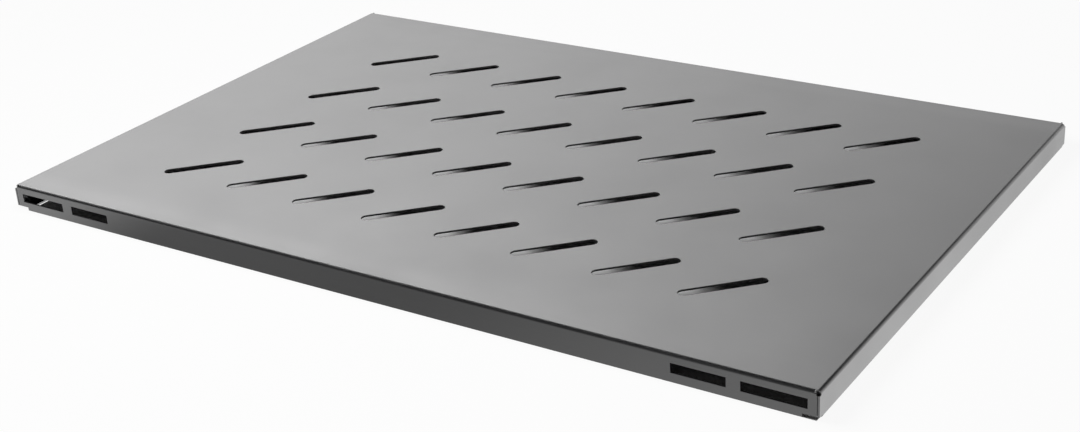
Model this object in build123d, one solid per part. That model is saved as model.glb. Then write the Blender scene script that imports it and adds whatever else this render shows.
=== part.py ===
from build123d import *
import os

# Rack shelf: one sheet of steel, punched flat and then folded on four sides.
# X runs along the long sides, Y from the front long side to the back one, Z is up.
# The origin is at the middle of the underside. All sizes are in millimetres.

# Overall sizes, over the outside faces
tray_length = 700.0
tray_depth = 467.0
tray_height = 20.5

# Sheet and folds
sheet = 1.5
inside_bend = 1.0
return_width = 11.0

# Corners: where the folds stop and how the ends of the flanges meet
long_bend_stop = 3.6
short_bend_stop = 2.2
relief_height = 3.0
seam_gap = 0.4
return_setback = 1.2
notch_length = 11.5
notch_height = 2.5

# Slanted ventilation slots in the top, in a grid that lies a little to the right and the front
vent_length = 63.5
vent_width = 8.8
vent_angle = 45.0
vent_columns = 8
vent_rows = 4
vent_column_pitch = 67.0
vent_row_pitch = 90.4
vent_shift_right = 1.8
vent_shift_front = 2.6

# Square-cornered fixing slots in both long flanges, two at each end, at the flange's mid height
end_slot_length = 45.0
end_slot_margin = 8.0
inner_slot_length = 39.0
slot_web = 10.0
slot_height = 7.0

# Sizes that follow from those above
outside_bend = inside_bend + sheet
half_length = tray_length / 2
half_depth = tray_depth / 2
plate_underside = tray_height - sheet
long_bend_length = tray_length - 2 * long_bend_stop
seam_x = half_length - sheet - seam_gap


def block(x_range, y_range, z_range):
    """A straight-sided block between two values on each axis."""
    spans = [high - low for low, high in (x_range, y_range, z_range)]
    middles = [(low + high) / 2 for low, high in (x_range, y_range, z_range)]
    return Pos(*middles) * Box(*spans)


def all_corners(corner):
    """The same block at the four corners of the tray."""
    front_and_back = [corner, mirror(corner, about=Plane.XZ)]
    return [copy for block in front_and_back for copy in (block, mirror(block, about=Plane.YZ))]


def short_side_section():
    """Top, short flanges and their returns: a hollow section, open along the bottom."""
    middle = Pos(0, tray_height / 2)
    outer = middle * RectangleRounded(tray_length, tray_height, outside_bend)
    inner = middle * RectangleRounded(tray_length - 2 * sheet, tray_height - 2 * sheet, inside_bend)
    mouth = Rectangle(tray_length - 2 * return_width, 2 * outside_bend)
    return Plane.XZ * (outer - inner - mouth)


def long_side_section():
    """Top and long flanges: an upturned channel with two folded corners."""
    outer = Pos(0, tray_height / 2) * Rectangle(tray_depth, tray_height)
    outer = fillet(outer.vertices().group_by(Axis.Y)[-1], outside_bend)
    inner = Pos(0, plate_underside / 2) * Rectangle(tray_depth - 2 * sheet, plate_underside)
    inner = fillet(inner.vertices().group_by(Axis.Y)[-1], inside_bend)
    return Plane.YZ * (outer - inner)


def short_side_fold():
    """The short sides run the full depth. Their returns and lower bends stop short of the ends."""
    fold = extrude(short_side_section(), half_depth, both=True)
    end_of_return = block(
        (half_length - return_width - sheet, half_length + sheet),
        (half_depth - return_setback, half_depth + sheet),
        (-sheet, outside_bend),
    )
    long_bend_room = block(
        (-long_bend_length / 2, long_bend_length / 2),
        (half_depth - outside_bend, half_depth + sheet),
        (plate_underside - sheet, tray_height + sheet),
    )
    fold -= all_corners(end_of_return)
    fold -= [long_bend_room, mirror(long_bend_room, about=Plane.XZ)]
    return fold


def long_side_fold():
    """The long sides: folded between the corners, with a flat ear out to each corner seam."""
    fold = extrude(long_side_section(), long_bend_length / 2, both=True)
    ear = block(
        (long_bend_length / 2, seam_x),
        (half_depth - sheet, half_depth),
        (0, plate_underside - seam_gap),
    )
    notch = block(
        (half_length - notch_length, half_length),
        (half_depth - 2 * sheet, half_depth + sheet),
        (-sheet, notch_height),
    )
    fold += all_corners(ear)
    fold -= all_corners(notch)
    return fold


def corner_reliefs():
    """The small openings that are punched where the bend lines cross, so that the folds stay clear."""
    relief = block(
        (half_length - outside_bend, half_length + sheet),
        (half_depth - short_bend_stop, half_depth + sheet),
        (tray_height - relief_height, tray_height + sheet),
    )
    return all_corners(relief)


def ventilation_slots():
    """A grid of round-ended slots, all slanted the same way."""
    slot = SlotOverall(vent_length, vent_width, rotation=vent_angle)
    grid = GridLocations(vent_column_pitch, vent_row_pitch, vent_columns, vent_rows)
    slots = Sketch() + [place * slot for place in grid]
    grid_middle = Pos(vent_shift_right, -vent_shift_front, plate_underside - sheet)
    return extrude(grid_middle * slots, 3 * sheet)


def fixing_slots():
    """Two slots near each end, punched alike through the front and the back flange."""
    end_middle = half_length - end_slot_margin - end_slot_length / 2
    inner_middle = end_middle - end_slot_length / 2 - slot_web - inner_slot_length / 2
    punches = []
    for middle, length in ((end_middle, end_slot_length), (inner_middle, inner_slot_length)):
        for side in (-1, 1):
            punch = Box(length, tray_depth + 2 * sheet, slot_height)
            punches.append(Pos(side * middle, 0, tray_height / 2) * punch)
    return punches


def shelf_tray():
    """The whole folded tray, as one solid."""
    tray = short_side_fold() + long_side_fold()
    tray -= corner_reliefs()
    tray -= ventilation_slots()
    tray -= fixing_slots()
    tray.label = "shelf_tray"
    return tray


os.makedirs("parts", exist_ok=True)
export_step(shelf_tray(), "parts/shelf_tray.step")
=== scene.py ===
import math

import bmesh
import bpy
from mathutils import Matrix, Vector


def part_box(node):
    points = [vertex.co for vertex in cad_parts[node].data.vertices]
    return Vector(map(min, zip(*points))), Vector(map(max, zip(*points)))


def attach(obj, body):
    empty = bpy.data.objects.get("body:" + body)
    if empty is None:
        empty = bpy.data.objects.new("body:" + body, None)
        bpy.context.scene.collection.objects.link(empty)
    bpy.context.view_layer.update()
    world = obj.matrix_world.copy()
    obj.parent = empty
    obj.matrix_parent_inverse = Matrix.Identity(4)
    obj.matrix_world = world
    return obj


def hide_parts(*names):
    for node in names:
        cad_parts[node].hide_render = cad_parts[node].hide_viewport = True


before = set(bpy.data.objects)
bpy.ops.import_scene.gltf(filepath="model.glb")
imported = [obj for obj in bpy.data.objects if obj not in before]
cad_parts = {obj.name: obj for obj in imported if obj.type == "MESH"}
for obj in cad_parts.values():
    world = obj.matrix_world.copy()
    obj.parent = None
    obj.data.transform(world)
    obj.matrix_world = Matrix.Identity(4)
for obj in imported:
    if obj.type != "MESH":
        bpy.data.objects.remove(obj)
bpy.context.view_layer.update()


# Camera
# It stands in front of the right corner and looks down across the flat top, with both visible
# flanges turned to it. Its place, angles and lens are fitted to the outline and the vent slots.
camera_place = (0.7170, -1.0556, 0.5604)
camera_turn = (64.970, 3.244, 32.761)
camera_lens = 57.787
nearest_seen, farthest_seen = 0.01, 100

camera_data = bpy.data.cameras.new("camera")
camera_data.lens = camera_lens
camera_data.clip_start = nearest_seen
camera_data.clip_end = farthest_seen
camera = bpy.data.objects.new("camera", camera_data)
camera.location = camera_place
camera.rotation_euler = [math.radians(angle) for angle in camera_turn]
bpy.context.collection.objects.link(camera)
bpy.context.scene.camera = camera


# Flat panels of the sheet
# Before it is folded, the sheet is punched: 32 slanted, round-ended vents in the top, square-cornered
# fixing slots in the long flanges, and notches and reliefs where the folds meet at the corners.
mm = 0.001
half_length, half_depth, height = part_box("shelf_tray")[1]

sheet = 1.5 * mm
outside_bend = 2.5 * mm
long_bend_stop = 3.6 * mm
short_bend_stop = 2.2 * mm
relief_height = 3.0 * mm
seam_gap = 0.4 * mm
notch_length = 11.5 * mm
notch_height = 2.5 * mm
return_width = 11.0 * mm
# The returns and lower bends end this far from the long flanges, which leaves a step at the corners.
return_setback = 5.0 * mm
# Corners that are nearer than this are one corner.
same_place = 0.01 * mm

long_bend_end = half_length - long_bend_stop
short_bend_end = half_depth - short_bend_stop
relief_bottom = height - relief_height
ear_top = height - sheet - seam_gap
seam_x = half_length - sheet - seam_gap
notch_x = half_length - notch_length
return_edge_x = half_length - return_width
return_end = half_depth - return_setback
bend_x = half_length - outside_bend
bend_y = half_depth - outside_bend
bend_z = height - outside_bend

vent_sizes = {
    "Slot Length": 63.5 * mm,
    "Slot Width": 8.8 * mm,
    "Slot Angle": math.radians(45),
    "Columns": 8,
    "Rows": 4,
    "Column Pitch": 67.0 * mm,
    "Row Pitch": 90.4 * mm,
    "Shift Right": 1.8 * mm,
    "Shift Front": 2.6 * mm,
    "Round Steps": 14,
}


def add_node(tree, kind, inputs=(), **settings):
    """A node with its settings. Inputs pair a socket's name or number with a value or an output."""
    node = tree.nodes.new(kind)
    for name, value in settings.items():
        setattr(node, name, value)
    for socket, value in inputs:
        if isinstance(value, bpy.types.NodeSocket):
            tree.links.new(value, node.inputs[socket])
        else:
            node.inputs[socket].default_value = value
    return node


def calculate(tree, operation, first, second=0.0):
    """The result of one sum. Operations on a single value ignore the second one."""
    pair = [(0, first), (1, second)]
    return add_node(tree, "ShaderNodeMath", pair, operation=operation).outputs[0]


def punched_panel_tree():
    """Fills a flat outline and leaves a grid of equal round-ended slots open in it."""
    # Just under a half, so that the two rounded corners at a slot's end don't meet in one point.
    end_radius_share = 0.4999
    tree = bpy.data.node_groups.new("punched_panel", "GeometryNodeTree")
    tree.interface.new_socket("Outline", in_out="INPUT", socket_type="NodeSocketGeometry")
    for name, value in vent_sizes.items():
        kind = "NodeSocketInt" if isinstance(value, int) else "NodeSocketFloat"
        tree.interface.new_socket(name, in_out="INPUT", socket_type=kind)
    tree.interface.new_socket("Coat", in_out="INPUT", socket_type="NodeSocketMaterial")
    tree.interface.new_socket("Panel", in_out="OUTPUT", socket_type="NodeSocketGeometry")
    given = tree.nodes.new("NodeGroupInput").outputs

    spans = []
    for count, pitch in (("Columns", "Column Pitch"), ("Rows", "Row Pitch")):
        gaps = calculate(tree, "SUBTRACT", given[count], 1)
        spans.append(calculate(tree, "MULTIPLY", gaps, given[pitch]))
    grid = add_node(tree, "GeometryNodeMeshGrid", [
        ("Size X", spans[0]), ("Size Y", spans[1]),
        ("Vertices X", given["Columns"]), ("Vertices Y", given["Rows"]),
    ])
    towards_back = calculate(tree, "MULTIPLY", given["Shift Front"], -1)
    shift = add_node(tree, "ShaderNodeCombineXYZ", [("X", given["Shift Right"]), ("Y", towards_back)])
    places = add_node(tree, "GeometryNodeTransform", [
        ("Geometry", grid.outputs["Mesh"]), ("Translation", shift.outputs[0]),
    ])

    blank_slot = add_node(tree, "GeometryNodeCurvePrimitiveQuadrilateral", [
        ("Width", given["Slot Length"]), ("Height", given["Slot Width"]),
    ])
    end_radius = calculate(tree, "MULTIPLY", given["Slot Width"], end_radius_share)
    slot = add_node(tree, "GeometryNodeFilletCurve", [
        ("Curve", blank_slot.outputs["Curve"]), ("Radius", end_radius), ("Count", given["Round Steps"]),
    ], mode="POLY")
    turn = add_node(tree, "ShaderNodeCombineXYZ", [("Z", given["Slot Angle"])])
    slots = add_node(tree, "GeometryNodeInstanceOnPoints", [
        ("Points", places.outputs["Geometry"]), ("Instance", slot.outputs["Curve"]),
        ("Rotation", turn.outputs[0]),
    ])
    slot_curves = add_node(tree, "GeometryNodeRealizeInstances", [
        ("Geometry", slots.outputs["Instances"]),
    ])

    outline = add_node(tree, "GeometryNodeMeshToCurve", [("Mesh", given["Outline"])])
    lines = add_node(tree, "GeometryNodeJoinGeometry", [("Geometry", outline.outputs["Curve"])])
    tree.links.new(slot_curves.outputs["Geometry"], lines.inputs["Geometry"])
    filled = add_node(tree, "GeometryNodeFillCurve", [
        ("Curve", lines.outputs["Geometry"]),
    ], mode="NGONS")
    merged = add_node(tree, "GeometryNodeMergeByDistance", [
        ("Geometry", filled.outputs["Mesh"]), ("Distance", same_place),
    ])
    realized = add_node(tree, "GeometryNodeRealizeInstances", [
        ("Geometry", merged.outputs["Geometry"]),
    ])
    coated = add_node(tree, "GeometryNodeSetMaterial", [
        ("Geometry", realized.outputs["Geometry"]), ("Material", given["Coat"]),
    ])
    add_node(tree, "NodeGroupOutput", [("Panel", coated.outputs["Geometry"])])
    return tree


def both_halves(half):
    """A closed outline from its right half, which runs up from the bottom to the top."""
    return half + [(-across, up) for across, up in reversed(half)]


def rectangle(middle_x, middle_y, length, width):
    left, right = middle_x - length / 2, middle_x + length / 2
    bottom, top = middle_y - width / 2, middle_y + width / 2
    return [(left, bottom), (right, bottom), (right, top), (left, top)]


def fixing_slots():
    """Two slots near each end of a long flange, at its mid height."""
    slot_height = 7.0 * mm
    end_length, inner_length = 45.0 * mm, 39.0 * mm
    end_margin, web = 8.0 * mm, 10.0 * mm
    end_middle = half_length - end_margin - end_length / 2
    inner_middle = end_middle - end_length / 2 - web - inner_length / 2
    slots = []
    for middle, length in ((end_middle, end_length), (inner_middle, inner_length)):
        for side in (-1, 1):
            slots.append(rectangle(side * middle, height / 2, length, slot_height))
    return slots


def flat_panel(loops, tree, coat, sizes):
    """The faces of one flat panel, as corner points and lists of corner numbers."""
    points = [(across, up, 0) for loop in loops for across, up in loop]
    edges = []
    for loop in loops:
        start = len(edges)
        edges += [(start + k, start + (k + 1) % len(loop)) for k in range(len(loop))]
    mesh = bpy.data.meshes.new("panel_outline")
    mesh.from_pydata(points, edges, [])
    panel = bpy.data.objects.new("panel_outline", mesh)
    bpy.context.collection.objects.link(panel)
    modifier = panel.modifiers.new("punch", "NODES")
    modifier.node_group = tree
    for item in tree.interface.items_tree:
        if item.in_out == "INPUT" and item.name in sizes:
            modifier[item.identifier] = sizes[item.name]
        elif item.name == "Coat":
            modifier[item.identifier] = coat
    evaluated = panel.evaluated_get(bpy.context.evaluated_depsgraph_get())
    filled = bpy.data.meshes.new_from_object(evaluated)
    corners = [tuple(vertex.co) for vertex in filled.vertices]
    faces = [tuple(polygon.vertices) for polygon in filled.polygons]
    bpy.data.objects.remove(panel)
    return corners, faces


def panel_outlines():
    """Each panel's outside face: its loops, what puts a flat point in place, and if it is vented."""
    top_corner = [
        (bend_x, short_bend_end), (bend_x, half_depth),
        (long_bend_end, half_depth), (long_bend_end, bend_y),
    ]
    top_half = [(x, -y) for x, y in reversed(top_corner)] + top_corner
    long_half = [
        (notch_x, 0), (notch_x, notch_height), (seam_x, notch_height), (seam_x, relief_bottom),
        (bend_x, relief_bottom), (bend_x, ear_top), (long_bend_end, ear_top), (long_bend_end, bend_z),
    ]
    short_half = [
        (return_end, outside_bend), (half_depth, outside_bend), (half_depth, relief_bottom),
        (short_bend_end, relief_bottom), (short_bend_end, bend_z),
    ]
    return_half = [(return_end, return_edge_x), (return_end, bend_x)]
    long_loops = [both_halves(long_half)] + fixing_slots()
    short_loops = [both_halves(short_half)]
    return_loops = [both_halves(return_half)]
    panels = [([both_halves(top_half)], lambda x, y: (x, y, height), True)]
    for side in (-1, 1):
        panels.append((long_loops, lambda x, z, side=side: (x, side * half_depth, z), False))
        panels.append((short_loops, lambda y, z, side=side: (side * half_length, y, z), False))
        panels.append((return_loops, lambda y, x, side=side: (side * x, y, 0), False))
    return panels


# Folds of the sheet
# Each fold is a quarter round, pressed in a brake, with an outside radius of 2.5 mm. The long folds
# stop just short of the corners, and the short sides are folded once more, into their returns.
bend_steps = 12


def fold_strip(place, half_width, middle_out, middle_up, first_angle):
    """A quarter round as one row of long faces, from the first angle down to 90 degrees below it."""
    corners = []
    for step in range(bend_steps + 1):
        angle = math.radians(first_angle - 90 * step / bend_steps)
        out = middle_out + outside_bend * math.cos(angle)
        up = middle_up + outside_bend * math.sin(angle)
        corners += [place(-half_width, out, up), place(half_width, out, up)]
    faces = [(2 * k, 2 * k + 1, 2 * k + 3, 2 * k + 2) for k in range(bend_steps)]
    return corners, faces


def fold_strips():
    """The two long folds, and an upper and a lower fold along each short side."""
    strips = []
    for side in (-1, 1):
        def long_place(along, out, up):
            return (along, side * out, up)

        def short_place(along, out, up):
            return (side * out, along, up)

        strips.append(fold_strip(long_place, long_bend_end, bend_y, bend_z, 90))
        strips.append(fold_strip(short_place, short_bend_end, bend_x, bend_z, 90))
        strips.append(fold_strip(short_place, return_end, bend_x, outside_bend, 0))
    return strips


# Powder coat
# A satin, very dark grey coat, sprayed on and baked after folding, so it covers every face and edge.
# It has a fine orange peel, and its gloss and shade drift a little over the sheet. Beside the long
# folds the top rolls off very slightly, which a low bump gives.
def fade(tree, value, start, end, first, last):
    """A smooth change from the first level to the last, while the value goes from start to end."""
    return add_node(tree, "ShaderNodeMapRange", [
        ("Value", value), ("From Min", start), ("From Max", end), ("To Min", first), ("To Max", last),
    ], interpolation_type="SMOOTHSTEP").outputs["Result"]


def powder_coat():
    coat_dark, coat_light = (0.020, 0.020, 0.021, 1), (0.025, 0.025, 0.026, 1)
    gloss_low, gloss_high = 0.31, 0.36
    cloud_size, cloud_detail = 70 * mm, 4.0
    cloud_low, cloud_high = 0.3, 0.7
    peel_size, peel_detail = 0.9 * mm, 2.0
    peel_height, peel_strength = 0.05 * mm, 0.1
    roll_width, roll_drop = 26 * mm, 0.35 * mm
    coat_ior = 1.8

    material = bpy.data.materials.new("coated_steel")
    material.use_nodes = True
    tree = material.node_tree
    shader = tree.nodes["Principled BSDF"]
    place = tree.nodes.new("ShaderNodeTexCoord").outputs["Object"]

    cloud = add_node(tree, "ShaderNodeTexNoise", [
        ("Vector", place), ("Scale", 1 / cloud_size), ("Detail", cloud_detail),
    ])
    tint = add_node(tree, "ShaderNodeMix", data_type="RGBA")
    for socket, value in (("A", coat_dark), ("B", coat_light)):
        next(s for s in tint.inputs if s.name == socket and s.type == "RGBA").default_value = value
    tree.links.new(cloud.outputs["Fac"], tint.inputs["Factor"])
    coloured = next(s for s in tint.outputs if s.type == "RGBA")
    tree.links.new(coloured, shader.inputs["Base Color"])

    gloss = add_node(tree, "ShaderNodeMapRange", [
        ("Value", cloud.outputs["Fac"]), ("From Min", cloud_low), ("From Max", cloud_high),
        ("To Min", gloss_low), ("To Max", gloss_high),
    ])
    tree.links.new(gloss.outputs["Result"], shader.inputs["Roughness"])

    peel = add_node(tree, "ShaderNodeTexNoise", [
        ("Vector", place), ("Scale", 1 / peel_size), ("Detail", peel_detail),
    ])
    fine = add_node(tree, "ShaderNodeBump", [
        ("Strength", peel_strength), ("Distance", peel_height), ("Height", peel.outputs["Fac"]),
    ])
    across = add_node(tree, "ShaderNodeSeparateXYZ", [("Vector", place)]).outputs["Y"]
    from_middle = calculate(tree, "ABSOLUTE", across)
    roll = fade(tree, from_middle, half_depth - roll_width, half_depth, 0.0, -roll_drop)
    bump = add_node(tree, "ShaderNodeBump", [
        ("Strength", 1.0), ("Distance", 1.0), ("Height", roll), ("Normal", fine.outputs["Normal"]),
    ])
    tree.links.new(bump.outputs["Normal"], shader.inputs["Normal"])
    shader.inputs["IOR"].default_value = coat_ior
    return material


coated_steel = powder_coat()


# Shelf tray
# The panels and folds are one piece of 1.5 mm steel. Its outside face is joined up first, then it
# gets its thickness, and the punched edges are softened, as tumbling and the coat leave them.
def joined_sheet(coat):
    tree = punched_panel_tree()
    unvented = dict(vent_sizes, Columns=0, Rows=0)
    sheet_mesh = bmesh.new()

    def add_faces(corners, faces):
        vertices = [sheet_mesh.verts.new(corner) for corner in corners]
        for face in faces:
            sheet_mesh.faces.new([vertices[number] for number in face])

    for loops, place, vented in panel_outlines():
        corners, faces = flat_panel(loops, tree, coat, vent_sizes if vented else unvented)
        add_faces([place(across, up) for across, up, flat in corners], faces)
    for corners, faces in fold_strips():
        add_faces(corners, faces)
    bmesh.ops.remove_doubles(sheet_mesh, verts=sheet_mesh.verts, dist=same_place)
    bmesh.ops.recalc_face_normals(sheet_mesh, faces=sheet_mesh.faces)
    top_face = max(sheet_mesh.faces, key=lambda face: face.calc_area())
    if top_face.normal.z < 0:
        bmesh.ops.reverse_faces(sheet_mesh, faces=sheet_mesh.faces)
    for face in sheet_mesh.faces:
        face.smooth = True
    mesh = bpy.data.meshes.new("tray")
    sheet_mesh.to_mesh(mesh)
    sheet_mesh.free()
    return mesh


def finished_tray(coat):
    softened_edge, softened_steps = 0.18 * mm, 2
    sharpest_left = math.radians(50)
    blank = bpy.data.objects.new("tray_blank", joined_sheet(coat))
    blank.data.materials.append(coat)
    bpy.context.collection.objects.link(blank)

    thickness = blank.modifiers.new("thickness", "SOLIDIFY")
    thickness.thickness = sheet
    thickness.offset = -1
    thickness.use_even_offset = True
    soften = blank.modifiers.new("soften", "BEVEL")
    soften.width = softened_edge
    soften.segments = softened_steps
    soften.limit_method = "ANGLE"
    soften.angle_limit = sharpest_left
    soften.use_clamp_overlap = False
    even_shading = blank.modifiers.new("even_shading", "WEIGHTED_NORMAL")
    even_shading.weight = 100

    evaluated = blank.evaluated_get(bpy.context.evaluated_depsgraph_get())
    mesh = bpy.data.meshes.new_from_object(evaluated)
    bpy.data.objects.remove(blank)
    tray = bpy.data.objects.new("tray", mesh)
    bpy.context.collection.objects.link(tray)
    return tray


tray = finished_tray(coated_steel)
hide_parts("shelf_tray")
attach(tray, "root")


# Floor
# A white studio floor, much larger than the tray, and matt under it, where light falls through the
# vents. Around the tray, the camera sees it as white, with a trace of the shadow, and reflections
# see it at painted levels of their own: painted lamp light by the ends and past the right side,
# painted shade between, and a painted glowing strip beside the left return.
white_level = 1.0


def studio_floor():
    floor_half = 12.0
    floor_colour = (0.95, 0.95, 0.95, 1)
    shadow_share = 0.07
    # How far the white glow reaches in under the tray's right and left sides, as painted light on floor
    # that the tray shades.
    under_right, under_left = 2 * mm, 12 * mm
    # A narrow, painted glowing strip beside the left return, whose cut edge mirrors it in the left end
    # slot as a painted highlight.
    strip_width, painted_strip_glow = 3.5 * mm, 3.0
    # Painted light and shade that reflections see on the floor: a dim level, as painted shade, brighter
    # towards both ends and past the right side, most in front, as painted lamp light.
    painted_reflection_base = 0.6
    left_rise, left_reach = 1.1, 150 * mm
    right_rise = 0.75
    beside_front, beside_back = 0.8, 0.2

    mesh = bpy.data.meshes.new("floor")
    corners = [(-1, -1), (1, -1), (1, 1), (-1, 1)]
    mesh.from_pydata([(x * floor_half, y * floor_half, 0) for x, y in corners], [], [(0, 1, 2, 3)])
    floor = bpy.data.objects.new("floor", mesh)
    bpy.context.collection.objects.link(floor)

    material = bpy.data.materials.new("floor_white")
    material.use_nodes = True
    tree = material.node_tree
    tree.nodes.clear()
    place = add_node(tree, "ShaderNodeSeparateXYZ", [
        ("Vector", tree.nodes.new("ShaderNodeTexCoord").outputs["Object"]),
    ])
    x, y = place.outputs["X"], place.outputs["Y"]
    ray = tree.nodes.new("ShaderNodeLightPath").outputs

    # Painted light: the white glow reaches in under the tray's sides, where the tray shades the floor.
    past_right = calculate(tree, "GREATER_THAN", x, half_length - under_right)
    past_left = calculate(tree, "LESS_THAN", x, under_left - half_length)
    far_x = calculate(tree, "MAXIMUM", past_right, past_left)
    far_y = calculate(tree, "GREATER_THAN", calculate(tree, "ABSOLUTE", y), half_depth)
    outside = calculate(tree, "MAXIMUM", far_x, far_y)
    # A painted glowing strip on the floor beside the left return, which only reflections see.
    after_return = calculate(tree, "GREATER_THAN", x, return_width - half_length)
    before_strip_end = calculate(tree, "LESS_THAN", x, return_width + strip_width - half_length)
    beside_return = calculate(tree, "MULTIPLY", after_return, before_strip_end)

    camera_share = calculate(tree, "MULTIPLY", ray["Is Camera Ray"], 1 - shadow_share)
    seen = calculate(tree, "MULTIPLY", outside, camera_share)
    bright = calculate(tree, "MAXIMUM", outside, beside_return)
    mirrored = calculate(tree, "MULTIPLY", bright, ray["Is Glossy Ray"])
    glow_share = calculate(tree, "ADD", seen, mirrored)

    # Painted reflection: the floor's level for glossy rays, painted lamp light and shade by place.
    left_end = fade(tree, x, -half_length, -half_length + left_reach, left_rise, 0)
    right_end = fade(tree, x, 0, half_length, 0, right_rise)
    front_level = calculate(tree, "ADD", painted_reflection_base, calculate(tree, "ADD", left_end, right_end))
    right_side = calculate(tree, "GREATER_THAN", x, half_length)
    right_level = fade(tree, y, -half_depth, half_depth, beside_front, beside_back)
    beside_right = calculate(tree, "MULTIPLY", right_side, right_level)
    inside = calculate(tree, "SUBTRACT", 1.0, outside)
    strip = calculate(tree, "MULTIPLY", inside, painted_strip_glow)
    painted_strip_level = calculate(tree, "MULTIPLY", beside_return, strip)
    painted_reflection = calculate(tree, "ADD", front_level, beside_right)
    painted_reflection = calculate(tree, "ADD", painted_reflection, painted_strip_level)
    level = add_node(tree, "ShaderNodeMix", [
        ("Factor", ray["Is Glossy Ray"]), ("A", white_level), ("B", painted_reflection),
    ], data_type="FLOAT").outputs["Result"]

    matt = add_node(tree, "ShaderNodeBsdfDiffuse", [("Color", floor_colour)])
    glow = add_node(tree, "ShaderNodeEmission", [("Strength", level)])
    both = add_node(tree, "ShaderNodeMixShader", [
        (0, glow_share), (1, matt.outputs[0]), (2, glow.outputs[0]),
    ])
    add_node(tree, "ShaderNodeOutputMaterial", [("Surface", both.outputs[0])])
    mesh.materials.append(material)


studio_floor()


# Light
# One large, soft lamp hangs over the front left of the tray, without falloff, and lights the floor
# through the vents. The coat doesn't mirror it. It mirrors a soft box and a pale wall, behind and to
# the left, a low glow to the right, and a second soft box in front, which shows from behind.
def overhead_lamp():
    lamp_place = (-0.232, -0.240, 0.56)
    lamp_radius = 240 * mm
    lamp_strength = 33.0
    data = bpy.data.lights.new("overhead", "POINT")
    data.shadow_soft_size = lamp_radius
    data.energy = 1.0
    data.use_nodes = True
    tree = data.node_tree
    even = add_node(tree, "ShaderNodeLightFalloff", [("Strength", lamp_strength)])
    tree.links.new(even.outputs["Constant"], tree.nodes["Emission"].inputs["Strength"])
    lamp = bpy.data.objects.new("overhead", data)
    lamp.location = lamp_place
    lamp.visible_glossy = False
    bpy.context.collection.objects.link(lamp)


def studio_world():
    """Each glow has a middle azimuth from +Y towards -X, its half width and soft edge, then the same
    for its elevation, and a radiance. Reflections see the glows, and matt surfaces see a plain fill."""
    soft_box = (60, 31, 58, 33, 6.5, 10, 8.1)
    pale_wall = (20, 48, 10, 9, 13, 10, 1.6)
    low_glow = (-42, 14, 14, 4, 15, 12, 1.3)
    front_box = (-125, 58, 36, 24, 16, 12, 2.6)
    fill = 0.05
    world = bpy.data.worlds.new("studio")
    bpy.context.scene.world = world
    world.use_nodes = True
    tree = world.node_tree
    background = tree.nodes["Background"]
    direction = add_node(tree, "ShaderNodeSeparateXYZ", [
        ("Vector", tree.nodes.new("ShaderNodeTexCoord").outputs["Generated"]),
    ])
    to_left = calculate(tree, "MULTIPLY", direction.outputs["X"], -1)
    azimuth = calculate(tree, "ARCTAN2", to_left, direction.outputs["Y"])
    elevation = calculate(tree, "ARCSINE", direction.outputs["Z"])

    def window(angle, middle, half, soft_edge):
        """1 near the middle, and 0 past the half width, with a soft edge between."""
        difference = calculate(tree, "SUBTRACT", angle, math.radians(middle))
        turns_in = [(0, difference), (1, math.pi), (2, -math.pi)]
        wrapped = add_node(tree, "ShaderNodeMath", turns_in, operation="WRAP").outputs[0]
        distance = calculate(tree, "ABSOLUTE", wrapped)
        inner, outer = math.radians(half - soft_edge / 2), math.radians(half + soft_edge / 2)
        return fade(tree, distance, inner, outer, 1, 0)

    total = calculate(tree, "ADD", 0.0)
    for glow in (soft_box, pale_wall, low_glow, front_box):
        across, half_width, side_edge, up, half_height, upper_edge, radiance = glow
        sideways = window(azimuth, across, half_width, side_edge)
        upwards = window(elevation, up, half_height, upper_edge)
        shape = calculate(tree, "MULTIPLY", sideways, upwards)
        total = calculate(tree, "ADD", total, calculate(tree, "MULTIPLY", shape, radiance))
    ray = tree.nodes.new("ShaderNodeLightPath").outputs
    lighting = add_node(tree, "ShaderNodeMix", [
        ("Factor", ray["Is Glossy Ray"]), ("A", fill), ("B", total),
    ], data_type="FLOAT").outputs["Result"]
    strength = add_node(tree, "ShaderNodeMix", [
        ("Factor", ray["Is Camera Ray"]), ("A", lighting), ("B", white_level),
    ], data_type="FLOAT").outputs["Result"]
    tree.links.new(strength, background.inputs["Strength"])
    background.inputs["Color"].default_value = (1, 1, 1, 1)


overhead_lamp()
studio_world()
bpy.context.scene.view_settings.view_transform = "Standard"
